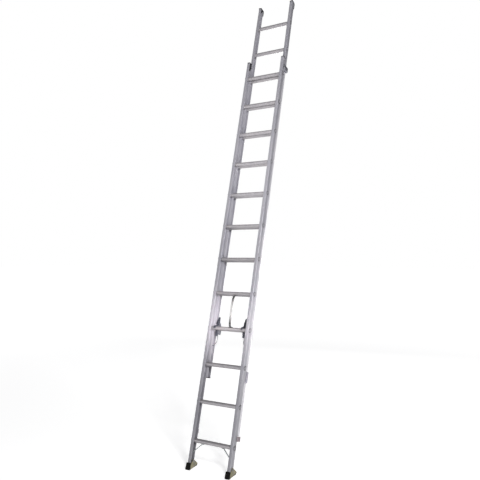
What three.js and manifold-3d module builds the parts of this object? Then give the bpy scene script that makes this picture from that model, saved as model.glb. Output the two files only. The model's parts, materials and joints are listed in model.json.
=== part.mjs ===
// A two-section aluminium extension ladder, leaning as it stands in use.
//
// Millimetres, +Z up. +X is the ladder's right as its user faces it, and +Y points away from
// the user, so the ladder's top leans towards +Y. The origin is on the floor, midway between
// the pivots of the two shoes.
//
// The sections are drawn in the ladder's own directions: x across it, y through its depth from
// the front, and z along its rails from the middle of the lowest rung. One turned group then
// leans them. The base section stands in front; the fly section slides behind it, locked two
// rungs up. The shoes stand flat on the floor, so they are drawn outside the turned group.

import * as THREE from 'three';
import { mergeVertices } from 'three/addons/utils/BufferGeometryUtils.js';
import Module from 'manifold-3d';

const wasm = await Module();
wasm.setup();

// ---------------------------------------------------------------------------------------
// Driving dimensions
// ---------------------------------------------------------------------------------------

const LEAN = THREE.MathUtils.degToRad(16);   // from the vertical
const PITCH = 304.8;                         // from rung to rung
const RUNG_COUNT = 12;                       // in each section
const RAISED_BY = 2;                         // rungs that the fly stands above the base
const LOCK_RUNG = 3;                         // pitches from the lowest rung to the locks' rung
const GAP = 0.3;                             // between pieces that touch
const WALL = 2.5;                            // thickness of the rails

// Rails are channels that open towards the middle of the ladder. outer is the distance from
// the middle to the web's outer face, and front is the depth of the front flange's face.
const RAIL = { flange: 28, depth: 48 };
const BASE = { outer: 196, front: 0, bottom: -172, top: 11.57 * PITCH };
const FLY = { outer: 186.5, front: 50, bottom: 1.66 * PITCH, top: 13.79 * PITCH };

// Hollow D-shaped rungs with their flat tread up. The tread is level when the ladder leans.
const RUNG = { depth: 36, height: 29, tread: 30, shoulder: 6, wall: 2.2, fromFront: 25.65 };
const SWAGE = { grow: 2.9, inside: 4, outsideBase: 3.2, outsideFly: 0.8 };

// Shoes: the pivot's place on the base rail, and its height above the floor.
const PIVOT = { depth: 30, along: -154, height: 55.7, boltRadius: 4.7, holeRadius: 5 };
const SHOE = { plateInner: 163.5, plateOuter: 200.5, plate: 3, ear: 13, padHeight: 12 };

// Locks: cheeks either side of a hook and a finger that turn on two cross pins.
const LOCK = { inner: 119.5, outer: 142.5, cheek: 3, play: 1, pinRadius: 4, pinPlay: 0.3 };
const HOOK_PIN = { depth: 62, along: 36 };
const FINGER_PIN = { depth: 52, along: -27 };

// Guides that keep the sections together.
const TRACK = { bottom: 88, top: 11.13 * PITCH };
const STOP = { bottom: 50, top: 85, outer: 205, rear: 88 };
const TOP_GUIDE = { bottom: 11.18 * PITCH, top: 11.33 * PITCH, outer: 205, rear: 108 };
const BOTTOM_GUIDE = { cap: 8, length: 80 };
const SLIDE_CLEAR = 188.6;                   // what passes the fly's rung ends stays outside this

// ---------------------------------------------------------------------------------------
// Materials
// ---------------------------------------------------------------------------------------

const finish = (color, roughness, metalness) =>
  new THREE.MeshStandardMaterial({ color, roughness, metalness });

const aluminium = () => finish(0xa3a2a8, 0.42, 0.9);
const brightAluminium = () => finish(0xd6d5da, 0.38, 0.9);
const lockSteel = () => finish(0x4a4c56, 0.45, 0.8);
const springSteel = () => finish(0x55565c, 0.4, 0.9);
const zincPlate = () => finish(0x8d8a72, 0.5, 0.75);
const boltSteel = () => finish(0x7d7e82, 0.4, 0.9);
const blackRubber = () => finish(0x151515, 0.85, 0);
const darkPlastic = () => finish(0x232226, 0.6, 0);

// ---------------------------------------------------------------------------------------
// Shaping helpers
// ---------------------------------------------------------------------------------------

// A shape through a list of corners.
function outline(corners) {
  return new THREE.Shape(corners.map(([a, b]) => new THREE.Vector2(a, b)));
}

// The same corners on the ladder's other side, for outlines whose first number is across it.
function onSide(corners, side) {
  return corners.map(([across, other]) => [side * across, other]);
}

function extrude(shape, depth, curveSegments = 3) {
  return new THREE.ExtrudeGeometry(shape, { depth, curveSegments, bevelEnabled: false });
}

// Shape in (across, depth), extruded along the rails.
function extrudeAlong(shape, from, to) {
  return extrude(shape, to - from).translate(0, 0, from);
}

// Shape in (depth, along), extruded across the ladder between two places in either order.
function extrudeAcross(shape, from, to, curveSegments) {
  const turn = new THREE.Matrix4().makeBasis(
    new THREE.Vector3(0, 1, 0), new THREE.Vector3(0, 0, 1), new THREE.Vector3(1, 0, 0));
  const geometry = extrude(shape, Math.abs(to - from), curveSegments).applyMatrix4(turn);
  return geometry.translate(Math.min(from, to), 0, 0);
}

// Shape in (across, along), extruded through the ladder's depth.
function extrudeThrough(shape, from, to) {
  const turn = new THREE.Matrix4().makeBasis(
    new THREE.Vector3(1, 0, 0), new THREE.Vector3(0, 0, 1), new THREE.Vector3(0, -1, 0));
  return extrude(shape, to - from).applyMatrix4(turn).translate(0, to, 0);
}

// A round rod across the ladder, through (depth, along).
function rod(radius, from, to, depth, along, sides = 12) {
  const geometry = new THREE.CylinderGeometry(radius, radius, Math.abs(to - from), sides);
  return geometry.rotateZ(Math.PI / 2).translate((from + to) / 2, depth, along);
}

// A flat strip of even thickness that follows a line of points, with mitred corners.
function strip(points, thickness) {
  const line = points.map(([a, b]) => new THREE.Vector2(a, b));
  const left = [];
  const right = [];
  line.forEach((point, i) => {
    const before = line[Math.max(i - 1, 0)];
    const after = line[Math.min(i + 1, line.length - 1)];
    const arriving = (i > 0 ? point.clone().sub(before) : after.clone().sub(point)).normalize();
    const leaving = (after === point ? arriving.clone() : after.clone().sub(point)).normalize();
    const along = arriving.clone().add(leaving).normalize();
    const reach = thickness / 2 / Math.max(along.dot(arriving), 0.5);
    const normal = new THREE.Vector2(-along.y, along.x).multiplyScalar(reach);
    left.push(point.clone().add(normal));
    right.push(point.clone().sub(normal));
  });
  return new THREE.Shape([...left, ...right.reverse()]);
}

function toSolid(geometry) {
  const bare = geometry.clone();
  bare.deleteAttribute('normal');
  bare.deleteAttribute('uv');
  const welded = mergeVertices(bare, 1e-4);
  return new wasm.Manifold(new wasm.Mesh({
    numProp: 3,
    vertProperties: new Float32Array(welded.attributes.position.array),
    triVerts: new Uint32Array(welded.index.array),
  }));
}

function toGeometry(solid) {
  const mesh = solid.getMesh();
  const geometry = new THREE.BufferGeometry();
  geometry.setAttribute('position', new THREE.BufferAttribute(mesh.vertProperties, 3));
  geometry.setIndex(new THREE.BufferAttribute(mesh.triVerts, 1));
  geometry.computeVertexNormals();
  return geometry;
}

// Joins the first list of shapes and cuts the second list out of it.
function shaped(joined, cuts = []) {
  const whole = joined.map(toSolid).reduce((sum, next) => sum.add(next));
  return toGeometry(cuts.map(toSolid).reduce((rest, cut) => rest.subtract(cut), whole));
}

function piece(parent, name, geometry, material) {
  const mesh = new THREE.Mesh(geometry, material);
  mesh.name = name;
  parent.add(mesh);
}

// ---------------------------------------------------------------------------------------
// Rungs and rails
// ---------------------------------------------------------------------------------------

// The rung's D section about its own middle, made larger all round by grow.
function rungSection(grow) {
  const halfTread = (RUNG.tread + grow) / 2;
  const top = RUNG.height / 2 + grow;
  const shape = new THREE.Shape();
  shape.moveTo(halfTread, top);
  shape.lineTo(-halfTread, top);
  shape.absellipse(0, RUNG.shoulder, RUNG.depth / 2 + grow, RUNG.shoulder + top,
    Math.PI, 2 * Math.PI, false, 0);
  return shape;
}

// How high a base rung's level tread is above the rung's middle, at a depth in the ladder.
function treadHeight(depth) {
  return RUNG.height / 2 / Math.cos(LEAN) + (depth - RUNG.fromFront) * Math.tan(LEAN);
}

// A stretch of rung section from one place across the ladder to another, with a level tread.
function rungPrism(grow, from, to, front, along) {
  const geometry = extrudeAcross(rungSection(grow), from, to);
  return geometry.rotateX(LEAN).translate(0, front + RUNG.fromFront, along);
}

// A hollow rung with a swaged collar against each face of both webs.
function rung(section, outside, along) {
  const webInner = section.outer - WALL;
  const end = section.outer + GAP + outside;
  const parts = [rungPrism(0, -end, end, section.front, along)];
  for (const side of [-1, 1]) {
    const inner = [side * (webInner - GAP - SWAGE.inside), side * (webInner - GAP)];
    const outer = [side * (section.outer + GAP), side * end];
    for (const [from, to] of [inner, outer]) {
      parts.push(rungPrism(SWAGE.grow, from, to, section.front, along));
    }
  }
  return shaped(parts, [rungPrism(-RUNG.wall, -end - 1, end + 1, section.front, along)]);
}

// A channel rail with a hole in its web for each rung, and any further holes in cuts.
function rail(section, side, firstRung, cuts) {
  const { outer, front } = section;
  const inner = outer - RAIL.flange;
  const rear = front + RAIL.depth;
  const channel = outline(onSide([
    [inner, front], [outer, front], [outer, rear], [inner, rear],
    [inner, rear - WALL], [outer - WALL, rear - WALL], [outer - WALL, front + WALL],
    [inner, front + WALL],
  ], side));
  const holes = [...cuts];
  for (let i = 0; i < RUNG_COUNT; i += 1) {
    const along = (firstRung + i) * PITCH;
    const through = [side * (outer - 2 * WALL), side * (outer + WALL)];
    holes.push(rungPrism(GAP, ...through, front, along));
  }
  return shaped([extrudeAlong(channel, section.bottom, section.top)], holes);
}

// ---------------------------------------------------------------------------------------
// Base section
// ---------------------------------------------------------------------------------------

// A flat steel brace from under the lowest rung down to the rail's web.
function brace(side) {
  const underRung = -RUNG.height / 2 - 2 * GAP - 1.75;
  const onWeb = BASE.outer - WALL - GAP - 1.75;
  const line = onSide([[84, underRung], [100, underRung], [onWeb, -102], [onWeb, -124]], side);
  const depth = BASE.front + RUNG.fromFront;
  return extrudeThrough(strip(line, 3.5), depth - 7, depth + 7);
}

// A flanged strip along the rear of the base rail, which the fly's bottom guide runs on.
function guideTrack(side) {
  const front = BASE.front + RAIL.depth + GAP;
  const section = outline(onSide([
    [188, front], [196, front], [196, 50.8], [193.5, 50.8], [193.5, 75], [195.5, 76],
    [195.5, 80], [190, 80], [190, 50.8], [188, 50.8],
  ], side));
  return extrudeAlong(section, TRACK.bottom, TRACK.top);
}

// The block that stops the fly at the bottom of its track.
function stopBlock(side) {
  const front = BASE.front + RAIL.depth + GAP;
  const section = outline(onSide([
    [SLIDE_CLEAR, front], [196, front], [196.3, front - 8], [STOP.outer - 3, front - 8],
    [STOP.outer, front - 4], [STOP.outer, STOP.rear - 5], [STOP.outer - 5, STOP.rear],
    [SLIDE_CLEAR, STOP.rear],
  ], side));
  return extrudeAlong(section, STOP.bottom, STOP.top);
}

// A bracket on the top of the base rail that wraps round behind the fly rail.
function topGuide(side) {
  const web = BASE.outer + GAP;
  const front = BASE.front + RAIL.depth + GAP;
  const lip = TOP_GUIDE.rear - 5;
  const section = outline(onSide([
    [web, 20], [web + 3.7, 20], [web + 3.7, front - 2], [TOP_GUIDE.outer, front + 2],
    [TOP_GUIDE.outer, lip], [TOP_GUIDE.outer - 5, TOP_GUIDE.rear], [176, TOP_GUIDE.rear],
    [176, lip], [SLIDE_CLEAR, lip], [SLIDE_CLEAR, front], [web, front],
  ], side));
  return extrudeAlong(section, TOP_GUIDE.bottom, TOP_GUIDE.top);
}

// The plastic cap on the top of a base rail, with a plug that fills the channel below it.
function baseTopCap(side) {
  const { outer, top } = BASE;
  const web = outer - WALL - GAP;
  const inner = outer - RAIL.flange;
  const plug = outline(onSide([
    [web, top - 62], [inner + 2, top - 46], [inner + 2, top + 2], [web, top + 2],
  ], side));
  const lid = outline(onSide([
    [inner - 1, top + GAP], [outer, top + GAP], [outer, top + 9], [inner - 1, top + 6],
  ], side));
  return shaped([
    extrudeThrough(plug, 18, RAIL.depth - WALL - GAP),
    extrudeThrough(lid, 0, RAIL.depth),
  ]);
}

// A bowed flat bar between the locks' rung and the rung above, used as a hand strap.
function grabStrap() {
  const thickness = 3;
  const lower = LOCK_RUNG * PITCH;
  const lift = thickness / 2 + 2 * GAP;
  const route = new THREE.CatmullRomCurve3([
    [36, treadHeight(36) + lift], [19, treadHeight(19) + lift], [4, 17], [-4, 30], [-9, 52],
    [-12.5, 90], [-14, 152], [-13, 222], [-8, 257], [4, 279], [17, 287.4], [35, 287.8],
  ].map(([depth, along]) => new THREE.Vector3(depth, lower + along, 0)));
  const line = route.getPoints(22).map((point) => [point.x, point.y]);
  return extrudeAcross(strip(line, thickness), 7, 28);
}

// ---------------------------------------------------------------------------------------
// Fly section
// ---------------------------------------------------------------------------------------

// The cap on the top of a fly rail, with a pad at its rear that rests on the wall.
function flyTopCap(side) {
  const { outer, front, top } = FLY;
  const inner = outer - RAIL.flange;
  const rear = front + RAIL.depth;
  const lid = outline(onSide([
    [inner - 1, top + GAP], [outer + 1, top + GAP], [outer + 1, top + 12],
    [inner - 1, top + 7],
  ], side));
  const plug = outline(onSide([
    [inner + 2, top - 14], [outer - WALL - GAP, top - 14], [outer - WALL - GAP, top + 2],
    [inner + 2, top + 2],
  ], side));
  const pad = outline([
    [rear + GAP, top - 64], [rear + 8, top - 58], [rear + 13, top - 40], [rear + 13, top],
    [rear + 6, top + 12], [front - 1, top + 8], [front - 1, top + 1], [rear + GAP, top + 1],
  ]);
  return shaped([
    extrudeThrough(lid, front - 1, rear + 2),
    extrudeThrough(plug, front + WALL + GAP, rear - WALL - GAP),
    extrudeAcross(pad, side * (inner + 1), side * (outer - 1)),
  ]);
}

// The cap under a fly rail, with a tongue that wraps the guide track's bulb.
function flyBottomGuide(side) {
  const { outer, front, bottom } = FLY;
  const inner = outer - RAIL.flange;
  const rear = front + RAIL.depth;
  const cap = outline(onSide([
    [inner - 1, front], [outer + 0.8, front], [outer + 0.8, rear + 1], [inner - 1, rear + 1],
  ], side));
  const tongue = outline(onSide([
    [outer + 0.5, 84], [197.5, 84], [197.5, 56], [201, 56], [201, 90], [outer + 0.5, 90],
  ], side));
  const floor = bottom - BOTTOM_GUIDE.cap;
  return shaped([
    extrudeAlong(cap, floor, bottom - GAP),
    extrudeAlong(tongue, floor, bottom + BOTTOM_GUIDE.length),
  ]);
}

// ---------------------------------------------------------------------------------------
// Locks. Their outlines are in (depth, height above the middle of the locks' rung).
// ---------------------------------------------------------------------------------------

const lockOrigin = LOCK_RUNG * PITCH;
const hookInner = LOCK.inner + LOCK.cheek + LOCK.play;
const hookOuter = LOCK.outer - LOCK.cheek - LOCK.play;

// Two cheeks threaded on the fly's rung, joined by a plate bolted behind the fly rail. The
// finger's cross pin is riveted in.
function lockBracket(side) {
  const plateFront = FLY.front + RAIL.depth + GAP;
  const plateRear = plateFront + LOCK.cheek;
  const railOuter = FLY.outer;
  const cheek = outline([
    [45, 22], [51, 50], [78, 50], [plateRear, 8], [plateRear, -46], [78, -50], [59, -36],
    [46, -36], [44, -20],
  ]);
  const plate = outline(onSide([
    [LOCK.inner, -40], [LOCK.outer + 6, -40], [LOCK.outer + 10, -58], [railOuter, -58],
    [railOuter, 42], [LOCK.outer + 14, 36], [LOCK.outer, 8], [LOCK.outer - LOCK.cheek, 0],
    [LOCK.inner, 0],
  ], side));
  const cheeks = [
    [LOCK.inner, LOCK.inner + LOCK.cheek], [LOCK.outer - LOCK.cheek, LOCK.outer],
  ];
  const parts = cheeks.map(([from, to]) => extrudeAcross(cheek, side * from, side * to));
  parts.push(extrudeThrough(plate, plateFront, plateRear));
  const place = [FINGER_PIN.depth, FINGER_PIN.along];
  parts.push(rod(LOCK.pinRadius, side * (LOCK.inner - 2), side * (LOCK.outer + 2), ...place));
  const across = [side * (LOCK.inner - 5), side * (LOCK.outer + 5)];
  const rungHole = rungPrism(0.5, ...across, FLY.front, 0);
  const pinHole = rod(LOCK.pinRadius + LOCK.pinPlay, ...across, HOOK_PIN.depth, HOOK_PIN.along);
  return shaped(parts, [rungHole, pinHole]).translate(0, 0, lockOrigin);
}

// The hook that sits over the base section's rung, with a long arm above its pin.
function lockHook(side) {
  const body = outline([
    [68, 101], [62, 99], [43.5, 58], [43, 35], [21, 27], [-1, 18], [-3, 15], [-3, -3], [4.2, -3],
    [4.2, treadHeight(4.2) + 1], [43, treadHeight(43) + 1], [62, 26], [70, 28], [74, 36],
    [71, 52],
  ]);
  const hole = rod(LOCK.pinRadius + LOCK.pinPlay, side * (hookInner - 5), side * (hookOuter + 5),
    HOOK_PIN.depth, HOOK_PIN.along);
  const blank = extrudeAcross(body, side * hookInner, side * hookOuter);
  return shaped([blank], [hole]).translate(0, 0, lockOrigin);
}

// The small pierced finger that hangs under the hook, just behind the base section's rungs.
function lockFinger(side) {
  const { depth, along } = FINGER_PIN;
  const body = outline([
    [depth - 7, along + 1], [depth - 9, along - 33], [depth + 12, along - 36],
    [depth + 8, along], [depth + 4, along + 8], [depth - 4, along + 8],
  ]);
  body.holes.push(outline([[depth, along - 12], [depth + 7.5, along - 29],
    [depth - 5, along - 28]]));
  const hole = rod(LOCK.pinRadius + LOCK.pinPlay, side * (hookInner - 5), side * (hookOuter + 5),
    depth, along);
  const blank = extrudeAcross(body, side * hookInner, side * hookOuter);
  return shaped([blank], [hole]).translate(0, 0, lockOrigin);
}

// The headed pin that the hook turns on.
function lockPin(side) {
  const head = LOCK.pinRadius + 2.5;
  const start = LOCK.inner - GAP;
  const end = LOCK.outer + GAP;
  const profile = [
    [0, start - 2.5], [head, start - 2.5], [head, start], [LOCK.pinRadius, start],
    [LOCK.pinRadius, end], [head, end], [head, end + 2.5], [0, end + 2.5],
  ];
  return turnedPin(profile, side).translate(0, HOOK_PIN.depth, lockOrigin + HOOK_PIN.along);
}

// A wire bow from under the bracket out to the rail's web.
function lockSpring(side) {
  const wire = 2.2;
  const route = new THREE.CatmullRomCurve3([
    [130, 72, -62], [128, 71, -88], [133, 71, -116], [152, 73, -138],
    [FLY.outer - WALL - 2.5, 75, -150],
  ].map(([across, depth, along]) => new THREE.Vector3(side * across, depth, lockOrigin + along)));
  const round = new THREE.Shape().absarc(0, 0, wire, 0, 2 * Math.PI, false);
  return new THREE.ExtrudeGeometry(round, { extrudePath: route, steps: 11, curveSegments: 4 });
}

// ---------------------------------------------------------------------------------------
// Shoes, in the part's own directions: y from the pivot, z from the floor
// ---------------------------------------------------------------------------------------

// A pin turned from a profile of (radius, distance from the ladder's middle).
function turnedPin(profile, side) {
  const points = profile.map(([radius, across]) => new THREE.Vector2(radius, across));
  return new THREE.LatheGeometry(points, 12).rotateZ(-side * Math.PI / 2);
}

// A U-shaped plated steel bracket: two triangular plates joined by a floor plate.
function shoeBracket(side) {
  const plate = new THREE.Shape();
  const arcStart = THREE.MathUtils.degToRad(40);
  const arcEnd = THREE.MathUtils.degToRad(170);
  plate.moveTo(-41, 1.5);
  plate.lineTo(62.5, 13);
  plate.lineTo(61, 20);
  plate.absarc(0, PIVOT.height, SHOE.ear, arcStart, arcEnd, false);
  plate.lineTo(-37.5, 34);
  const { plateInner, plateOuter } = SHOE;
  const faces = [
    [plateInner, plateInner + SHOE.plate], [plateOuter - SHOE.plate, plateOuter],
  ];
  const parts = faces.map(([from, to]) => extrudeAcross(plate, side * from, side * to, 4));
  const floorBottom = SHOE.padHeight + GAP;
  const floor = outline([
    [-36, floorBottom], [57, floorBottom], [57, floorBottom + SHOE.plate],
    [-36, floorBottom + SHOE.plate],
  ]);
  parts.push(extrudeAcross(floor, side * (plateInner + 1), side * (plateOuter - 1)));
  const across = [side * (plateInner - 5), side * (plateOuter + 5)];
  return shaped(parts, [rod(PIVOT.holeRadius, ...across, 0, PIVOT.height)]);
}

// The rubber sole between the plates, with a toe that stands up in front of them.
function shoePad(side) {
  const sole = outline([
    [-50, 0], [64, 0], [64, 6], [60, SHOE.padHeight], [-50, SHOE.padHeight],
  ]);
  const toe = outline([
    [-60, 3], [-57, 0], [-42.5, 0], [-37, 49], [-39, 52], [-43.5, 51], [-60, 11],
  ]);
  const clear = SHOE.plate + GAP;
  const soleSides = [SHOE.plateInner + clear, SHOE.plateOuter - clear];
  return shaped([
    extrudeAcross(sole, side * soleSides[0], side * soleSides[1]),
    extrudeAcross(toe, side * 162.5, side * 201.5),
  ]);
}

// The bolt that the shoe turns on, with its nut inside.
function shoePivotBolt(side) {
  const nut = SHOE.plateInner - GAP;
  const head = SHOE.plateOuter + GAP;
  const profile = [
    [0, nut - 4], [8, nut - 4], [8, nut], [PIVOT.boltRadius, nut], [PIVOT.boltRadius, head],
    [8, head], [8, head + 3], [5, head + 4.5], [0, head + 4.5],
  ];
  return turnedPin(profile, side).translate(0, 0, PIVOT.height);
}

// ---------------------------------------------------------------------------------------
// The ladder
// ---------------------------------------------------------------------------------------

const ladder = new THREE.Group();
const leaning = new THREE.Group();
leaning.rotation.x = -LEAN;
leaning.position.set(
  0,
  -(PIVOT.depth * Math.cos(LEAN) + PIVOT.along * Math.sin(LEAN)),
  PIVOT.height + PIVOT.depth * Math.sin(LEAN) - PIVOT.along * Math.cos(LEAN));
ladder.add(leaning);

for (const [letter, side] of [['L', -1], ['R', 1]]) {
  const across = [side * (BASE.outer - 2 * WALL), side * (BASE.outer + WALL)];
  const pivotHole = rod(PIVOT.holeRadius, ...across, PIVOT.depth, PIVOT.along);
  piece(leaning, `base_rail_${letter}`, rail(BASE, side, 0, [pivotHole]), aluminium());
  piece(leaning, `fly_rail_${letter}`, rail(FLY, side, RAISED_BY, []), aluminium());
  piece(leaning, `brace_${letter}`, brace(side), aluminium());
  piece(leaning, `base_guide_track_${letter}`, guideTrack(side), brightAluminium());
  piece(leaning, `stop_block_${letter}`, stopBlock(side), darkPlastic());
  piece(leaning, `base_top_guide_${letter}`, topGuide(side), lockSteel());
  piece(leaning, `base_top_cap_${letter}`, baseTopCap(side), darkPlastic());
  piece(leaning, `fly_top_cap_${letter}`, flyTopCap(side), darkPlastic());
  piece(leaning, `fly_bottom_guide_${letter}`, flyBottomGuide(side), darkPlastic());
  piece(leaning, `lock_bracket_${letter}`, lockBracket(side), lockSteel());
  piece(leaning, `lock_hook_${letter}`, lockHook(side), lockSteel());
  piece(leaning, `lock_finger_${letter}`, lockFinger(side), lockSteel());
  piece(leaning, `lock_pin_${letter}`, lockPin(side), boltSteel());
  piece(leaning, `lock_spring_${letter}`, lockSpring(side), springSteel());
  piece(ladder, `shoe_bracket_${letter}`, shoeBracket(side), zincPlate());
  piece(ladder, `shoe_pad_${letter}`, shoePad(side), blackRubber());
  piece(ladder, `shoe_pivot_bolt_${letter}`, shoePivotBolt(side), boltSteel());
}

for (let i = 0; i < RUNG_COUNT; i += 1) {
  const baseRung = rung(BASE, SWAGE.outsideBase, i * PITCH);
  const flyRung = rung(FLY, SWAGE.outsideFly, (i + RAISED_BY) * PITCH);
  piece(leaning, `base_rung_${i + 1}`, baseRung, aluminium());
  piece(leaning, `fly_rung_${i + 1}`, flyRung, aluminium());
}

piece(leaning, 'grab_strap', grabStrap(), brightAluminium());

export default ladder;
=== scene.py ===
"""Looks of a two-section aluminium extension ladder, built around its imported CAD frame.

Everything is in metres. Pieces that run along the ladder are drawn in the ladder's own
directions, (across, depth, along), and turned into the frame's directions by LADDER.
"""

import json
import math

import bmesh
import bpy
from mathutils import Matrix, Vector


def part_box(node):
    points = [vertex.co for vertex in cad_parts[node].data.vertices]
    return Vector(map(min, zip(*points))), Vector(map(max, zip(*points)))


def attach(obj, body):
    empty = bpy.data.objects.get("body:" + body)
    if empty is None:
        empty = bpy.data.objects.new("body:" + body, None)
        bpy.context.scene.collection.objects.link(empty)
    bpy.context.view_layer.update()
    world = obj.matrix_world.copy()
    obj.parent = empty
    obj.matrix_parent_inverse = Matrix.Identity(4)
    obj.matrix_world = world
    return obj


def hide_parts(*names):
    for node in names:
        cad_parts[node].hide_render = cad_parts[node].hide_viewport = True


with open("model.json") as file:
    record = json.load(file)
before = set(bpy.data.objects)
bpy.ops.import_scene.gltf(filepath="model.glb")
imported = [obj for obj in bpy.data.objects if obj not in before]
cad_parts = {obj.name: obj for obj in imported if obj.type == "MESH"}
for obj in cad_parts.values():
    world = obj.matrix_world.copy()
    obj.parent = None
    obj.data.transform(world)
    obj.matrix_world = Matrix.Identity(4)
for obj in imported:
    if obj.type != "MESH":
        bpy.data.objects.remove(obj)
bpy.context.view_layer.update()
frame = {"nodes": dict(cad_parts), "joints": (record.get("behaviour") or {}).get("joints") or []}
nodes = frame["nodes"]

MM = 0.001
SIDES = {"L": -1, "R": 1}
SECTIONS = ("base", "fly")
RUNG_NUMBERS = range(1, 13)
WHITE = (1, 1, 1)

# The ladder's directions, from the joint that the fly slides on.
slide = next(joint for joint in frame["joints"] if joint["name"] == "fly_slide")
ALONG = Vector(slide["axis"]).normalized()
ACROSS = Vector((1, 0, 0))
DEPTH = ALONG.cross(ACROSS)
LADDER = Matrix((ACROSS, DEPTH, ALONG)).transposed().to_4x4()
LEAN = math.atan2(ALONG.y, ALONG.z)

# Copies of CAD nodes: points this close are merged, faces this nearly flat become one, and
# edges sharper than EDGE_ANGLE are rounded.
MERGE_DISTANCE = 0.01 * MM
FLAT_ANGLE = math.radians(0.6)
EDGE_ANGLE = math.radians(35)

# Faces that meet at less than these angles are shaded as one surface.
SMOOTH_ANGLE = math.radians(32)
RUNG_SMOOTH_ANGLE = math.radians(40)

# Rails: a channel with a thicker bead along the inner edge of each flange
RAIL_WALL = 2.5 * MM
RAIL_BEAD_DEPTH = 4.2 * MM
RAIL_BEAD_WIDTH = 5 * MM
RAIL_BEAD_SLOPE = 1.5 * MM
RAIL_CORNER = 3.2 * MM
RAIL_EDGE = 1.4 * MM
RAIL_BEAD_CORNER = 0.5 * MM
RAIL_FILLET = 1.2 * MM
RAIL_END_TRIM = 0.4 * MM

# Rungs: a D section, flat side up, with a grooved tread and two flutes down each side. It is
# widest at RUNG_SHOULDER above its middle.
RUNG_DEPTH = 36 * MM
RUNG_HEIGHT = 29 * MM
RUNG_SHOULDER = 6 * MM
RUNG_WALL = 2.2 * MM
RUNG_BORE = 30 * MM
SHOULDER_STEPS = 5
BELLY_STEPS = 26
FLUTE_STEPS = (3, 6)
TREAD_HALF = 14.5 * MM
TREAD_RIDGES = 7
TREAD_GROOVE = 0.9 * MM

# One ridge and one groove of the tread: (share of the pitch, 1 at the bottom of the groove)
TREAD_POINTS = ((0.08, 0), (0.5, 0), (0.62, 1), (0.92, 1))

# The swages that hold a rung to its rails swell by this much, and are this long inside the web.
SWAGE_SWELL = 2.9 * MM
SWAGE_LENGTH = 7 * MM

# Rails are darker towards their feet, from about this height along the ladder downwards.
FOOT_DARKENING_HEIGHT = 1.25

# The lock's wire spring is drawn this much thicker all round than its CAD wire.
SPRING_GROW = 0.7 * MM

# A bottom guide is bare metal from this far below the fly rail's foot, and a top guide is a bare
# plate up to this far in front of its rear face.
TONGUE_OVERLAP = 1 * MM
TOP_GUIDE_LIP = 14 * MM

# Heads of rivets and bolts: (radius, height)
BRACE_BOLT = (4 * MM, 2 * MM)
BRACE_RIVET = (3.5 * MM, 1.8 * MM)
TRACK_RIVET = (2.3 * MM, 1.3 * MM)
STOP_RIVET = (2.6 * MM, 1.6 * MM)
TOP_GUIDE_RIVET = (4 * MM, 2.2 * MM)
BASE_CAP_RIVET = (3.5 * MM, 2 * MM)
FLY_CAP_RIVET = (3 * MM, 1.6 * MM)
LOCK_RIVET = (4.5 * MM, 2.4 * MM)
TONGUE_RIVET = (3.5 * MM, 1.6 * MM)
SHOE_RIVET = (4 * MM, 1.8 * MM)

# A head reaches into the surface under it by this share of its height.
HEAD_SUNK = 0.3

# Camera
CAMERA_PLACE = Vector((2.218, -3.5364, 1.713))
CAMERA_FORWARD = Vector((-0.4834, 0.8750, 0.0275))
CAMERA_LENS = 39.24
CAMERA_SENSOR = 36.0
CAMERA_REACH = 200

# Square area lights: name, place, target, side, power
AREA_LIGHTS = (
    ("right", (3.2, -2.4, 3.4), (0, 0.5, 1.8), 1.2, 208),
    ("bounce", (0.6, -2.6, 0.4), (0, 0.9, 3.4), 1.2, 40),
    ("upper", (1.6, -2.0, 6.2), (0, 0.9, 3.2), 1.2, 14),
    ("back", (-0.8, 4.6, 3.2), (0, 0.6, 1.9), 1.5, 75),
)

# Spotlights with a soft edge: name, place, target, full angle of the cone in degrees, power,
# colour
WARM = (1, 0.92, 0.92)
POOL_LIGHTS = (
    ("pool", (1.1, -1.5, 1.5), (-0.12, 0.33, 1.12), 15, 225, WARM),
    ("under", (0.3, -1.4, 0.15), (0, 0.78, 2.75), 17, 300, WHITE),
    ("warm_pool", (1.9, -0.9, 1.7), (-0.1, 0.33, 1.12), 17, 112, WARM),
)
POOL_LIGHT_RADIUS = 0.15

# The studio's soft light, from the horizon up to SKY_TOP, the sine of an elevation
SKY_HORIZON = (0.13, 0.13, 0.135)
SKY_ABOVE = (0.08, 0.08, 0.084)
SKY_TOP = 0.7

# Floor: it glows a little less near the ladder than further out, where it meets the backdrop.
FLOOR_HALF_WIDTH = 60
FLOOR_COLOR = (0.7, 0.7, 0.7)
FLOOR_ROUGHNESS = 0.9
GLOW_DISTANCES = (1.0, 9.0)
GLOW_STRENGTHS = (0.62, 1.0)


# ---------------------------------------------------------------------------
# Mesh helpers
# ---------------------------------------------------------------------------

def local_box(node):
    """Lowest and highest corner of a CAD node in the ladder's own directions."""
    turned = [LADDER.inverted() @ vertex.co for vertex in nodes[node].data.vertices]
    low = Vector(min(point[i] for point in turned) for i in range(3))
    high = Vector(max(point[i] for point in turned) for i in range(3))
    return low, high


def nearest_side(low, high):
    """How far the side of a box nearest to the ladder's middle is from that middle."""
    return abs(min(low.x, high.x, key=abs))


def add_piece(name, bm, material, body, stands_for=(), turn=None, smooth=SMOOTH_ANGLE):
    """Makes an object of bm, gives it its material and fixes it to a body."""
    bmesh.ops.recalc_face_normals(bm, faces=bm.faces)
    if turn is not None:
        bm.transform(turn)
    mesh = bpy.data.meshes.new(name)
    bm.to_mesh(mesh)
    bm.free()
    mesh.shade_smooth()
    mesh.set_sharp_from_angle(angle=smooth)
    mesh.materials.append(material)
    piece = bpy.data.objects.new(name, mesh)
    bpy.context.scene.collection.objects.link(piece)
    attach(piece, body)
    if stands_for:
        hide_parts(*stands_for)


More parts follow.
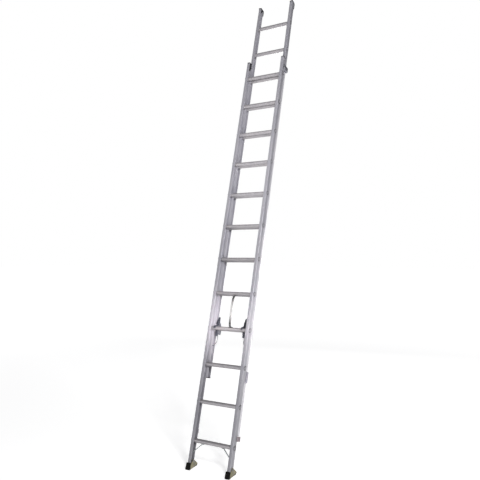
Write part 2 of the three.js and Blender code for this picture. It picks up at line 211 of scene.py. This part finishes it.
def loft(bm, rings):
    """Skins rings of equally many points, and closes both ends with one face each."""
    made = [[bm.verts.new(point) for point in ring] for ring in rings]
    count = len(rings[0])
    for ring, following in zip(made, made[1:]):
        for i in range(count):
            j = (i + 1) % count
            bm.faces.new((ring[i], ring[j], following[j], following[i]))
    bm.faces.new(made[0])
    bm.faces.new(reversed(made[-1]))


def rounded(corners, radii, steps=4):
    """A closed outline through corners, each rounded to its radius."""
    points = []
    count = len(corners)
    for i, (corner, radius) in enumerate(zip(corners, radii)):
        here = Vector(corner)
        to_last = (Vector(corners[i - 1]) - here).normalized()
        to_next = (Vector(corners[(i + 1) % count]) - here).normalized()
        half = to_last.angle(to_next) / 2
        reach = radius / math.tan(half)
        start = here + to_last * reach
        end = here + to_next * reach
        for k in range(steps + 1):
            t = k / steps
            points.append(start * (1 - t) ** 2 + here * 2 * t * (1 - t) + end * t ** 2)
    return points


def refined(node, material, body, bevel, segments=2, grow=0):
    """A finer copy of a CAD node, with clean faces and rounded edges, that stands for it."""
    bm = bmesh.new()
    bm.from_mesh(nodes[node].data)
    bmesh.ops.remove_doubles(bm, verts=bm.verts, dist=MERGE_DISTANCE)
    bmesh.ops.dissolve_limit(bm, angle_limit=FLAT_ANGLE, verts=bm.verts, edges=bm.edges)
    edges = [edge for edge in bm.edges
             if edge.is_manifold and edge.calc_face_angle(0) > EDGE_ANGLE]
    bmesh.ops.bevel(bm, geom=edges, offset=bevel, offset_type="OFFSET", segments=segments,
                    profile=0.5, affect="EDGES", clamp_overlap=True)
    if grow:
        bm.normal_update()
        for vertex in bm.verts:
            vertex.co += vertex.normal * grow
    add_piece(node + "_fine", bm, material, body, [node])


def dome(bm, centre, normal, radius, height, sides=14, rings=4):
    """A rivet's low round head, its foot sunk a little into the surface it sits on."""
    turn = normal.to_track_quat("Z", "Y").to_matrix()
    profile = [(radius, -height * HEAD_SUNK)]
    for k in range(rings):
        angle = math.pi / 2 * k / rings
        profile.append((radius * math.cos(angle), height * math.sin(angle)))
    loops = []
    for distance, up in profile:
        loops.append([
            centre + turn @ Vector((
                distance * math.cos(2 * math.pi * i / sides),
                distance * math.sin(2 * math.pi * i / sides), up))
            for i in range(sides)])
    loft(bm, loops)


# ---------------------------------------------------------------------------
# Materials
# ---------------------------------------------------------------------------

def grey(value):
    return (value, value, value)


def scaled(color, share):
    return tuple(channel * share for channel in color)


class Look:
    """A material's shader, with short calls for the nodes that several materials share."""

    def __init__(self, name, metallic, specular=0.5):
        self.material = bpy.data.materials.new(name)
        self.material.use_nodes = True
        self.tree = self.material.node_tree
        self.shader = self.tree.nodes["Principled BSDF"]
        self.shader.inputs["Metallic"].default_value = metallic
        self.shader.inputs["Specular IOR Level"].default_value = specular
        self.place = self.add("ShaderNodeTexCoord").outputs["Object"]

    def add(self, kind, **settings):
        node = self.tree.nodes.new(kind)
        for key, value in settings.items():
            setattr(node, key, value)
        return node

    def link(self, output, socket):
        self.tree.links.new(output, socket)

    def stretched(self, scale):
        """The place in the ladder's own directions, scaled along each of them."""
        mapping = self.add("ShaderNodeMapping", vector_type="POINT")
        mapping.inputs["Rotation"].default_value = (LEAN, 0, 0)
        self.link(self.place, mapping.inputs["Vector"])
        stretch = self.add("ShaderNodeVectorMath", operation="MULTIPLY")
        self.link(mapping.outputs["Vector"], stretch.inputs[0])
        stretch.inputs[1].default_value = scale
        return stretch.outputs["Vector"]

    def along(self):
        """The distance along the ladder from its foot."""
        separate = self.add("ShaderNodeSeparateXYZ")
        self.link(self.stretched((1, 1, 1)), separate.inputs["Vector"])
        return separate.outputs["Z"]

    def noise(self, vector, scale, detail=4, roughness=0.55):
        noise = self.add("ShaderNodeTexNoise")
        noise.inputs["Scale"].default_value = scale
        noise.inputs["Detail"].default_value = detail
        noise.inputs["Roughness"].default_value = roughness
        self.link(vector, noise.inputs["Vector"])
        return noise.outputs["Fac"]

    def brushed_lines(self, scale):
        """Fine lines of an extrusion or a flat bar, which also roughen its surface."""
        lines = self.noise(self.stretched(scale), 1.0, detail=6, roughness=0.62)
        self.bump(lines, strength=0.12, distance=0.2 * MM)
        return lines

    def ramp(self, value, stops):
        ramp = self.add("ShaderNodeValToRGB")
        elements = ramp.color_ramp.elements
        while len(elements) < len(stops):
            elements.new(0.5)
        for element, (position, color) in zip(elements, stops):
            element.position = position
            element.color = (*color, 1)
        self.link(value, ramp.inputs["Fac"])
        return ramp.outputs["Color"]

    def multiplied(self, color, by, share):
        """A colour multiplied by another, as far as share says."""
        mix = self.add("ShaderNodeMix", data_type="RGBA", blend_type="MULTIPLY")
        mix.inputs["Factor"].default_value = share
        self.link(color, mix.inputs["A"])
        self.link(by, mix.inputs["B"])
        return mix.outputs["Result"]

    def spread(self, value, low, high, start=0.3, end=0.7):
        """Maps start..end, by default a noise's usual range, to low..high."""
        spread = self.add("ShaderNodeMapRange")
        spread.inputs["From Min"].default_value = start
        spread.inputs["From Max"].default_value = end
        spread.inputs["To Min"].default_value = low
        spread.inputs["To Max"].default_value = high
        self.link(value, spread.inputs["Value"])
        return spread.outputs["Result"]

    def plus(self, first, second, share):
        """The first value plus a share of the second."""
        add = self.add("ShaderNodeMath", operation="MULTIPLY_ADD")
        self.link(second, add.inputs[0])
        add.inputs[1].default_value = share
        self.link(first, add.inputs[2])
        return add.outputs["Value"]

    def bump(self, height, strength, distance):
        bump = self.add("ShaderNodeBump")
        bump.inputs["Strength"].default_value = strength
        bump.inputs["Distance"].default_value = distance
        self.link(height, bump.inputs["Height"])
        self.link(bump.outputs["Normal"], self.shader.inputs["Normal"])

    def finish(self, color, roughness):
        self.link(color, self.shader.inputs["Base Color"])
        self.link(roughness, self.shader.inputs["Roughness"])
        return self.material


# The grain's fineness along (across, depth, along): lines along a rail, lines along a rung, and
# no direction on a swage, where the tool has pressed the lines out.
RAIL_GRAIN = (900, 900, 6)
RUNG_GRAIN = (5, 1500, 1500)
SWAGE_GRAIN = (300, 300, 300)
STRAP_GRAIN = (900, 900, 12)

ALUMINIUM_METALLIC = 0.42
STEEL_METALLIC = 0.85


def extruded_aluminium(name, color, grain=RAIL_GRAIN, rough=(0.34, 0.48), darker_feet=False):
    """Mill-finish aluminium: fine lines along the extrusion, faint blotches and scuffs.

    With its feet flag set, the metal's colour is darker towards the floor.
    """
    look = Look(name, ALUMINIUM_METALLIC)
    lines = look.brushed_lines(grain)
    blotches = look.noise(look.stretched((22, 22, 3.2)), 1.0, detail=5)
    scuffs = look.noise(look.stretched((160, 160, 60)), 1.0, detail=8, roughness=0.7)
    drawn = look.ramp(lines, [(0.3, scaled(color, 0.9)), (0.7, scaled(color, 1.07))])
    cloud = look.ramp(blotches, [(0.3, (0.86, 0.87, 0.9)), (0.52, WHITE), (0.75, (1, 0.985, 0.97))])
    worn = look.ramp(scuffs, [(0.34, (0.8, 0.8, 0.82)), (0.42, WHITE), (1.0, WHITE)])
    clouded = look.multiplied(drawn, cloud, 0.85)
    colour = look.multiplied(clouded, worn, 0.6)
    # The colour darkens towards the rails' feet.
    if darker_feet:
        height = look.spread(look.along(), 0, 1, 0, FOOT_DARKENING_HEIGHT)
        foot_darkening = look.ramp(height, [(0.0, grey(0.6)), (0.45, grey(0.68)), (0.9, WHITE)])
        colour = look.multiplied(colour, foot_darkening, 1.0)
    roughness = look.plus(look.spread(lines, *rough), look.spread(blotches, -0.05, 0.06), 1.0)
    return look.finish(colour, roughness)


def strap_painted_light(name, bright, dark):
    """A flat bar with a painted highlight along its middle and painted shade on the bends at both
    ends.
    """
    look = Look(name, ALUMINIUM_METALLIC)
    low, high = local_box("grab_strap")
    height = look.spread(look.along(), 0, 1, low.z, high.z)
    lines = look.brushed_lines(STRAP_GRAIN)
    # Painted light: the bright colour is a highlight on the middle, the dark colour is shade on both
    # bent ends.
    painted_light_along = look.ramp(height, [(0.12, dark), (0.38, bright), (0.66, bright), (0.9, dark)])
    drawn = look.ramp(lines, [(0.3, grey(0.85)), (0.7, WHITE)])
    return look.finish(look.multiplied(painted_light_along, drawn, 0.9), look.spread(lines, 0.26, 0.4))


def cut_steel(name, color, dark, rough=(0.34, 0.55), tint=WHITE):
    """Plated or painted pressed steel: mottled, darker in patches and scuffed bright."""
    look = Look(name, STEEL_METALLIC)
    mottle = look.noise(look.place, 180, detail=7, roughness=0.65)
    patches = look.noise(look.place, 38, detail=3)
    fine = look.noise(look.place, 1400, detail=3)
    base = look.ramp(mottle, [(0.32, dark), (0.5, color), (0.72, scaled(color, 1.35))])
    shade = look.ramp(patches, [(0.3, (0.72, 0.74, 0.8)), (0.6, tint)])
    look.bump(look.plus(mottle, fine, 0.4), strength=0.25, distance=0.15 * MM)
    return look.finish(look.multiplied(base, shade, 0.9), look.spread(mottle, *rough))


def moulded(name, color, rough=(0.5, 0.7), grain=900, grain_depth=0.08 * MM, specular=0.25):
    """Moulded plastic or rubber: fine leathery grain, dusty patches."""
    look = Look(name, metallic=0.0, specular=specular)
    fine = look.noise(look.place, grain, detail=4)
    dust = look.noise(look.place, 46, detail=6, roughness=0.65)
    colour = look.ramp(dust, [(0.35, color), (0.62, scaled(color, 1.5)), (0.85, scaled(color, 2.6))])
    look.bump(fine, strength=0.35, distance=grain_depth)
    return look.finish(colour, look.spread(dust, *rough))


RAIL_METAL = extruded_aluminium("rail_aluminium", (0.42, 0.412, 0.45), darker_feet=True)
RUNG_METAL = extruded_aluminium("rung_aluminium", (0.3, 0.286, 0.298), RUNG_GRAIN)
# Swages: a brighter copy of the aluminium is a painted highlight on the inner swages, a dark copy is
# painted shade on the outer ones.
SWAGE_PAINTED_HIGHLIGHT = extruded_aluminium("swage_painted_highlight", (0.5, 0.49, 0.5), SWAGE_GRAIN, (0.2, 0.34))
SWAGE_PAINTED_SHADE = extruded_aluminium("swage_painted_shade", (0.1, 0.095, 0.1), SWAGE_GRAIN, (0.3, 0.44))
TRACK_METAL = extruded_aluminium("track_aluminium", (0.58, 0.57, 0.6), rough=(0.3, 0.4))
STRAP_METAL = strap_painted_light("strap_aluminium", (0.56, 0.56, 0.56), (0.085, 0.085, 0.088))
GUIDE_BRIGHT = cut_steel("guide_bright", (0.5, 0.48, 0.53), (0.34, 0.32, 0.36))
PLATED_METAL = cut_steel("plated_steel", (0.3, 0.3, 0.33), (0.16, 0.16, 0.18))
BRACE_METAL = cut_steel("brace_steel", (0.33, 0.36, 0.35), (0.22, 0.24, 0.24))
GUIDE_METAL = cut_steel("guide_steel", (0.1, 0.085, 0.09), (0.04, 0.034, 0.036))
LOCK_METAL = cut_steel("lock_steel", (0.16, 0.167, 0.195), (0.075, 0.08, 0.1))
SPRING_METAL = cut_steel("spring_steel", (0.12, 0.12, 0.14), (0.05, 0.05, 0.06))
BOLT_METAL = cut_steel("bolt_steel", (0.3, 0.3, 0.31), (0.16, 0.16, 0.17))
ZINC_METAL = cut_steel("zinc_plate", (0.27, 0.25, 0.17), (0.15, 0.14, 0.1),
                       rough=(0.36, 0.6), tint=(1.0, 0.97, 0.9))
BLACK_RUBBER = moulded("black_rubber", (0.003, 0.003, 0.0025), rough=(0.75, 0.9), grain=700,
                       grain_depth=0.15 * MM, specular=0.12)
BLACK_PLASTIC = moulded("black_plastic", (0.014, 0.013, 0.016))
GREY_PLASTIC = moulded("grey_plastic", (0.17, 0.14, 0.15))


# ---------------------------------------------------------------------------
# Rails
# ---------------------------------------------------------------------------

def rail_outline(low, high, side):
    """The channel's section, from its front inner edge round the web to the front again."""
    outer, inner = (high.x, low.x) if side > 0 else (low.x, high.x)
    inward = -side
    bead = inner - inward * RAIL_BEAD_WIDTH
    slope = bead - inward * RAIL_BEAD_SLOPE
    web = outer + inward * RAIL_WALL
    front, rear = low.y, high.y
    corners = [
        (inner, front, RAIL_EDGE),
        (outer, front, RAIL_CORNER),
        (outer, rear, RAIL_CORNER),
        (inner, rear, RAIL_EDGE),
        (inner, rear - RAIL_BEAD_DEPTH, RAIL_EDGE),
        (bead, rear - RAIL_BEAD_DEPTH, RAIL_BEAD_CORNER),
        (slope, rear - RAIL_WALL, RAIL_FILLET),
        (web, rear - RAIL_WALL, RAIL_FILLET),
        (web, front + RAIL_WALL, RAIL_FILLET),
        (slope, front + RAIL_WALL, RAIL_FILLET),
        (bead, front + RAIL_BEAD_DEPTH, RAIL_BEAD_CORNER),
        (inner, front + RAIL_BEAD_DEPTH, RAIL_EDGE),
    ]
    return rounded([corner[:2] for corner in corners], [corner[2] for corner in corners])


def rail(section, letter):
    """A channel with rounded corners, a bead along the edge of each flange, and cut ends."""
    node = f"{section}_rail_{letter}"
    low, high = local_box(node)
    outline = rail_outline(low, high, SIDES[letter])
    middle = Vector(((low.x + high.x) / 2, (low.y + high.y) / 2))
    half_depth = (high.y - low.y) / 2
    stations = [
        (low.z, RAIL_END_TRIM), (low.z + RAIL_END_TRIM, 0),
        (high.z - RAIL_END_TRIM, 0), (high.z, RAIL_END_TRIM),
    ]
    rings = []
    for along, trim in stations:
        share = 1 - trim / half_depth
        rings.append([Vector((*(middle + (point - middle) * share), along))
                      for point in outline])
    bm = bmesh.new()
    loft(bm, rings)
    add_piece(node + "_fine", bm, RAIL_METAL, section, [node], LADDER)


# ---------------------------------------------------------------------------
# Rungs
# ---------------------------------------------------------------------------

def tread_points():
    """The grooved top, from its rear edge to its front edge."""
    pitch = 2 * TREAD_HALF / TREAD_RIDGES
    top = RUNG_HEIGHT / 2
    points = []
    for k in range(TREAD_RIDGES):
        start = TREAD_HALF - k * pitch
        for share, groove in TREAD_POINTS:
            points.append((start - share * pitch, top, 0, 1, groove))
    return points


def shoulder_points(side, steps):
    """The curve between the tread and the widest line, rear (side 1) or front (side -1)."""
    depth = RUNG_DEPTH / 2 - TREAD_HALF
    drop = RUNG_HEIGHT / 2 - RUNG_SHOULDER
    points = []
    for k in steps:
        angle = math.pi / 2 * k / SHOULDER_STEPS
        points.append((side * (TREAD_HALF + depth * math.sin(angle)),
                       RUNG_SHOULDER + drop * math.cos(angle),
                       side * math.sin(angle), math.cos(angle), 0))
    return points


def belly_points():
    """The round underside, from the front to the rear, with two flutes on each side."""
    deep = RUNG_SHOULDER + RUNG_HEIGHT / 2
    points = []
    for k in range(BELLY_STEPS + 1):
        angle = math.pi + math.pi * k / BELLY_STEPS
        fluted = 1 if min(k, BELLY_STEPS - k) in FLUTE_STEPS else 0
        points.append((RUNG_DEPTH / 2 * math.cos(angle), RUNG_SHOULDER + deep * math.sin(angle),
                       math.cos(angle), math.sin(angle), fluted))
    return points


def rung_profile():
    """Points of the D section as (depth, height, outward depth, outward height, groove)."""
    inner_steps = range(1, SHOULDER_STEPS)
    front = shoulder_points(-1, inner_steps)
    rear = shoulder_points(1, reversed(inner_steps))
    return tread_points() + front + belly_points() + rear


def rung_stations(web, outer, end):
    """Half a rung from its middle outwards, as (across, growth of the section, grooves).

    The web's inner face, the rail's outer face and the rung's end are given.
    """
    flare = end - outer
    swell = SWAGE_SWELL
    bar = [(0, 0, 1), (web - 26 * MM, 0, 1), (web - 14 * MM, 0, 0.6), (web - 8 * MM, 0, 0)]
    inner_swage = [
        (web - 5.5 * MM, 0.15 * swell, 0), (web - 4 * MM, 0.75 * swell, 0),
        (web - 3 * MM, swell, 0), (web - 1.2 * MM, swell, 0), (web - 0.3 * MM, 0.85 * swell, 0),
    ]
    neck = [(web + 0.5 * MM, 0.2 * swell, 0), (outer - 0.2 * MM, 0.2 * swell, 0)]
    outer_swage = [
        (outer + 0.2 * MM, 0.85 * swell, 0), (outer + 0.3 * flare, swell, 0),
        (outer + 0.7 * flare, 0.95 * swell, 0), (end - 0.1 * flare, 0.6 * swell, 0),
        (end, 0.1 * swell, 0),
    ]
    bore = [
        (end, -0.8 * RUNG_WALL, 0), (end - 0.5 * MM, -RUNG_WALL, 0),
        (end - RUNG_BORE, -RUNG_WALL, 0),
    ]
    return bar + inner_swage + neck + outer_swage + bore


def rung_ring(profile, across, centre, grow, grooves):
    ring = []
    for depth, height, out_depth, out_height, groove in profile:
        reach = grow - groove * grooves * TREAD_GROOVE
        ring.append(Vector((across, centre.y + depth + out_depth * reach,
                            centre.z + height + out_height * reach)))
    return ring


def rung(section, number):
    """A D rung, level when the ladder leans, with open ends and swages either side of a web."""
    node = f"{section}_rung_{number}"
    low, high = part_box(node)
    centre = Vector((0, (low.y + high.y) / 2, high.z - SWAGE_SWELL - RUNG_HEIGHT / 2))
    rail_side = local_box(f"{section}_rail_R")[1].x
    half = rung_stations(rail_side - RAIL_WALL, rail_side, high.x)
    mirrored = [(-across, grow, grooves) for across, grow, grooves in reversed(half[1:])]
    profile = rung_profile()
    bm = bmesh.new()
    loft(bm, [rung_ring(profile, across, centre, grow, grooves)
              for across, grow, grooves in mirrored + half])
    add_piece(node + "_fine", bm, RUNG_METAL, section, [node],
              smooth=RUNG_SMOOTH_ANGLE)


# ---------------------------------------------------------------------------
# Fittings
# ---------------------------------------------------------------------------

# Name, body, material, slot and bevel of the fittings that come in pairs on one section
PAIRED_FITTINGS = (
    ("brace", "base", BRACE_METAL, "brace_steel", 0.7 * MM),
    ("base_guide_track", "base", TRACK_METAL, "track_aluminium", 0.4 * MM),
    ("stop_block", "base", GREY_PLASTIC, "black_plastic", 1.6 * MM),
    ("base_top_guide", "base", GUIDE_METAL, "guide_steel", 0.9 * MM),
    ("base_top_cap", "base", BLACK_PLASTIC, "black_plastic", 1.5 * MM),
    ("fly_top_cap", "fly", BLACK_PLASTIC, "black_plastic", 1.2 * MM),
    ("fly_bottom_guide", "fly", BLACK_PLASTIC, "black_plastic", 0.8 * MM),
    ("lock_bracket", "fly", PLATED_METAL, "plated_steel", 0.5 * MM),
    ("lock_pin", "fly", BOLT_METAL, "bolt_steel", 0.5 * MM),
)


def plain_fittings():
    """The fittings whose CAD shape only needs its edges rounding."""
    for letter in SIDES:
        for name, body, material, slot, bevel in PAIRED_FITTINGS:
            refined(f"{name}_{letter}", material, body, bevel)
        refined(f"lock_spring_{letter}", SPRING_METAL, "fly", bevel=0.3 * MM,
                grow=SPRING_GROW)
        for name in ("lock_hook", "lock_finger"):
            refined(f"{name}_{letter}", LOCK_METAL, f"{name}_{letter}",
                    bevel=1.1 * MM)
        shoe = f"shoe_{letter}"
        refined(f"shoe_bracket_{letter}", ZINC_METAL, shoe, bevel=0.5 * MM)
        refined(f"shoe_pad_{letter}", BLACK_RUBBER, shoe, bevel=1.2 * MM)
        refined(f"shoe_pivot_bolt_{letter}", BOLT_METAL, "base",
                bevel=0.6 * MM)
    refined("grab_strap", STRAP_METAL, "base",
            bevel=0.8 * MM, segments=3)


def paint(piece, material, belongs):
    """Gives material to the faces of a piece whose middle, in the ladder's directions, belongs."""
    mesh = bpy.data.objects[piece].data
    mesh.materials.append(material)
    for face in mesh.polygons:
        if belongs(LADDER.inverted() @ face.center):
            face.material_index = len(mesh.materials) - 1


def paint_guides():
    """Bottom guides have a bare metal tongue, and top guides a bare plate."""
    for letter in SIDES:
        tongue = local_box(f"fly_rail_{letter}")[0].z - TONGUE_OVERLAP
        paint(f"fly_bottom_guide_{letter}_fine", GUIDE_BRIGHT, lambda place: place.z > tongue)
        lip = local_box(f"base_top_guide_{letter}")[1].y - TOP_GUIDE_LIP
        paint(f"base_top_guide_{letter}_fine", PLATED_METAL, lambda place: place.y < lip)


def paint_swage_light():
    """Swages carry a painted highlight inside the web and painted shade outside it."""
    for section in SECTIONS:
        web = local_box(f"{section}_rail_R")[1].x - RAIL_WALL
        for number in RUNG_NUMBERS:
            piece = f"{section}_rung_{number}_fine"
            # Painted highlight inside the web, painted shade outside it.
            paint(piece, SWAGE_PAINTED_HIGHLIGHT, lambda place: abs(place.x) > web - SWAGE_LENGTH)
            paint(piece, SWAGE_PAINTED_SHADE, lambda place: abs(place.x) > web)


# ---------------------------------------------------------------------------
# Fixings: heads of rivets and bolts, in the ladder's own directions
# ---------------------------------------------------------------------------

REARWARD = Vector((0, 1, 0))
DOWNWARD = Vector((0, 0, -1))

# Places of the heads: above a foot (UP), below a top (DOWN), behind a front or a bolt (BACK),
# and outwards or inwards of a face (OUT, IN)
BRACE_BOLT_UP = 11 * MM
BRACE_RIVET_OUT = 7 * MM
BRACE_RIVET_DOWN = 3.5 * MM
TRACK_RIVET_OUT = 2.7 * MM
TRACK_RIVET_BACK = 2.5 * MM
TRACK_FIRST_RIVET_UP = 60 * MM
STOP_RIVET_OUT = 4.5 * MM
TOP_GUIDE_RIVET_OUT = 4 * MM
TOP_GUIDE_RIVET_BACK = 12 * MM
TOP_GUIDE_RIVET_SHARES = (0.25, 0.75)
BASE_CAP_RIVET_DOWN = 26 * MM
FLY_CAP_RIVET_DOWN = 8 * MM
LOCK_RIVET_IN = 14 * MM
LOCK_RIVET_SHARES = (0.16, 0.84)
TONGUE_RIVET_UP = 40 * MM
SHOE_RIVET_BACK = 14 * MM
SHOE_RIVET_HEIGHT = 36 * MM


def web_face(section, letter):
    """A rail's outer face: its place across, its middle in depth, its foot and its top."""
    low, high = local_box(f"{section}_rail_{letter}")
    across = high.x if SIDES[letter] > 0 else low.x
    return across, (low.y + high.y) / 2, low.z, high.z


def brace_fixings(bm, letter, web, outward):
    """A bolt through the web at the brace's foot, and a rivet under its upper end."""
    low, high = local_box(f"brace_{letter}")
    depth = (low.y + high.y) / 2
    dome(bm, Vector((web, depth, low.z + BRACE_BOLT_UP)), outward, *BRACE_BOLT)
    across = SIDES[letter] * (nearest_side(low, high) + BRACE_RIVET_OUT)
    dome(bm, Vector((across, depth, high.z - BRACE_RIVET_DOWN)), DOWNWARD, *BRACE_RIVET)


def track_fixings(bm, letter, rung_step):
    """A row of small rivets along the flange of a guide track, one for each rung."""
    low, high = local_box(f"base_guide_track_{letter}")
    flange = SIDES[letter] * (nearest_side(low, high) + TRACK_RIVET_OUT)
    along = low.z + TRACK_FIRST_RIVET_UP
    while along < high.z:
        place = Vector((flange, low.y + TRACK_RIVET_BACK, along))
        dome(bm, place, REARWARD, *TRACK_RIVET, sides=10, rings=3)
        along += rung_step


def stop_fixings(bm, letter, web):
    """A rivet on the front of a stop block."""
    low, high = local_box(f"stop_block_{letter}")
    across = web + SIDES[letter] * STOP_RIVET_OUT
    dome(bm, Vector((across, low.y, (low.z + high.z) / 2)), -REARWARD, *STOP_RIVET)


def top_guide_fixings(bm, letter, web, outward):
    """Two rivets through the plate of a top guide."""
    low, high = local_box(f"base_top_guide_{letter}")
    across = web + SIDES[letter] * TOP_GUIDE_RIVET_OUT
    for share in TOP_GUIDE_RIVET_SHARES:
        up = low.z + share * (high.z - low.z)
        dome(bm, Vector((across, low.y + TOP_GUIDE_RIVET_BACK, up)), outward, *TOP_GUIDE_RIVET)


def base_fixings(bm, letter, outward):
    """The fixings of one side of the base, with a rivet in its top cap."""
    web, middle, _, top = web_face("base", letter)
    rung_step = local_box("base_rung_2")[0].z - local_box("base_rung_1")[0].z
    brace_fixings(bm, letter, web, outward)
    track_fixings(bm, letter, rung_step)
    stop_fixings(bm, letter, web)
    top_guide_fixings(bm, letter, web, outward)
    dome(bm, Vector((web, middle, top - BASE_CAP_RIVET_DOWN)), outward, *BASE_CAP_RIVET)


def fly_fixings(bm, letter, outward):
    """A rivet in the top cap, two on the back of the lock's bracket, one in the bottom guide."""
    web, middle, foot, top = web_face("fly", letter)
    dome(bm, Vector((web, middle, top - FLY_CAP_RIVET_DOWN)), outward, *FLY_CAP_RIVET)

    low, high = local_box(f"lock_bracket_{letter}")
    for share in LOCK_RIVET_SHARES:
        up = low.z + share * (high.z - low.z)
        place = Vector((web - SIDES[letter] * LOCK_RIVET_IN, high.y, up))
        dome(bm, place, REARWARD, *LOCK_RIVET)

    low, high = local_box(f"fly_bottom_guide_{letter}")
    tongue = high.x if SIDES[letter] > 0 else low.x
    dome(bm, Vector((tongue, middle, foot + TONGUE_RIVET_UP)), outward, *TONGUE_RIVET)


def shoe_fixings(letter):
    """A rivet on each face of a shoe's bracket, behind its pivot bolt and above the sole."""
    low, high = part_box(f"shoe_bracket_{letter}")
    bolt_low, bolt_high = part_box(f"shoe_pivot_bolt_{letter}")
    depth = (bolt_low.y + bolt_high.y) / 2 + SHOE_RIVET_BACK
    bm = bmesh.new()
    for face, facing in ((low.x, -1), (high.x, 1)):
        dome(bm, Vector((face, depth, SHOE_RIVET_HEIGHT)), Vector((facing, 0, 0)), *SHOE_RIVET)
    add_piece(f"shoe_rivets_{letter}", bm, BOLT_METAL, f"shoe_{letter}")


def fixings():
    """All heads: a piece for each shoe, which moves, and one for each section."""
    heads = {section: bmesh.new() for section in SECTIONS}
    for letter, side in SIDES.items():
        outward = Vector((side, 0, 0))
        base_fixings(heads["base"], letter, outward)
        fly_fixings(heads["fly"], letter, outward)
        shoe_fixings(letter)
    for section, bm in heads.items():
        add_piece(f"{section}_rivets", bm, BOLT_METAL, section, turn=LADDER)


# ---------------------------------------------------------------------------
# Stage
# ---------------------------------------------------------------------------

def put(name, data, place, forward):
    """An object for a camera or light that stands at a place and faces forward."""
    thing = bpy.data.objects.new(name, data)
    bpy.context.scene.collection.objects.link(thing)
    thing.location = place
    thing.rotation_mode = "QUATERNION"
    thing.rotation_quaternion = forward.to_track_quat("-Z", "Y")
    return thing


def make_camera():
    data = bpy.data.cameras.new("camera")
    data.lens = CAMERA_LENS
    data.sensor_width = CAMERA_SENSOR
    data.clip_end = CAMERA_REACH
    bpy.context.scene.camera = put("camera", data, CAMERA_PLACE, CAMERA_FORWARD)


def area_light(name, place, target, side, power):
    data = bpy.data.lights.new(name, "AREA")
    data.shape = "RECTANGLE"
    data.size = side
    data.size_y = side
    data.energy = power
    light = put(name, data, place, Vector(target) - Vector(place))
    light.visible_camera = False


def pool_light(name, place, target, cone, power, color):
    data = bpy.data.lights.new(name, "SPOT")
    data.spot_size = math.radians(cone)
    data.spot_blend = 1
    data.shadow_soft_size = POOL_LIGHT_RADIUS
    data.energy = power
    data.color = color
    put(name, data, place, Vector(target) - Vector(place))


def make_world():
    """A dim sky lights the ladder, and the camera sees plain white in its place."""
    world = bpy.data.worlds.new("studio")
    bpy.context.scene.world = world
    world.use_nodes = True
    tree = world.node_tree
    link = tree.links.new

    direction = tree.nodes.new("ShaderNodeTexCoord")
    height = tree.nodes.new("ShaderNodeSeparateXYZ")
    link(direction.outputs["Generated"], height.inputs["Vector"])
    gradient = tree.nodes.new("ShaderNodeValToRGB")
    horizon, above = gradient.color_ramp.elements
    horizon.position = 0.0
    horizon.color = (*SKY_HORIZON, 1)
    above.position = SKY_TOP
    above.color = (*SKY_ABOVE, 1)
    link(height.outputs["Z"], gradient.inputs["Fac"])

    soft = tree.nodes["Background"]
    soft.inputs["Strength"].default_value = 1.0
    link(gradient.outputs["Color"], soft.inputs["Color"])
    seen = tree.nodes.new("ShaderNodeBackground")
    seen.inputs["Strength"].default_value = 1.0
    seen.inputs["Color"].default_value = (*WHITE, 1)
    path = tree.nodes.new("ShaderNodeLightPath")
    pick = tree.nodes.new("ShaderNodeMixShader")
    link(path.outputs["Is Camera Ray"], pick.inputs["Fac"])
    link(soft.outputs["Background"], pick.inputs[1])
    link(seen.outputs["Background"], pick.inputs[2])
    link(pick.outputs["Shader"], tree.nodes["World Output"].inputs["Surface"])


def floor_material():
    """A matt light grey that glows, more so further from the ladder's foot."""
    material = bpy.data.materials.new("floor")
    material.use_nodes = True
    tree = material.node_tree
    shader = tree.nodes["Principled BSDF"]
    shader.inputs["Base Color"].default_value = (*FLOOR_COLOR, 1)
    shader.inputs["Roughness"].default_value = FLOOR_ROUGHNESS
    shader.inputs["Emission Strength"].default_value = 1.0
    place = tree.nodes.new("ShaderNodeTexCoord")
    distance = tree.nodes.new("ShaderNodeVectorMath")
    distance.operation = "LENGTH"
    glow = tree.nodes.new("ShaderNodeMapRange")
    glow.inputs["From Min"].default_value = GLOW_DISTANCES[0]
    glow.inputs["From Max"].default_value = GLOW_DISTANCES[1]
    glow.inputs["To Min"].default_value = GLOW_STRENGTHS[0]
    glow.inputs["To Max"].default_value = GLOW_STRENGTHS[1]
    tree.links.new(place.outputs["Object"], distance.inputs[0])
    tree.links.new(distance.outputs["Value"], glow.inputs["Value"])
    tree.links.new(glow.outputs["Result"], shader.inputs["Emission Color"])
    return material


def make_floor():
    bm = bmesh.new()
    bmesh.ops.create_grid(bm, x_segments=1, y_segments=1, size=FLOOR_HALF_WIDTH)
    mesh = bpy.data.meshes.new("floor")
    bm.to_mesh(mesh)
    bm.free()
    floor = bpy.data.objects.new("floor", mesh)
    bpy.context.scene.collection.objects.link(floor)
    mesh.materials.append(floor_material())


def make_stage():
    bpy.context.scene.view_settings.view_transform = "Standard"
    make_world()
    make_floor()
    for light in AREA_LIGHTS:
        area_light(*light)
    for light in POOL_LIGHTS:
        pool_light(*light)


for section in SECTIONS:
    for letter in SIDES:
        rail(section, letter)
    for number in RUNG_NUMBERS:
        rung(section, number)
plain_fittings()
paint_guides()
paint_swage_light()
fixings()
make_camera()
make_stage()
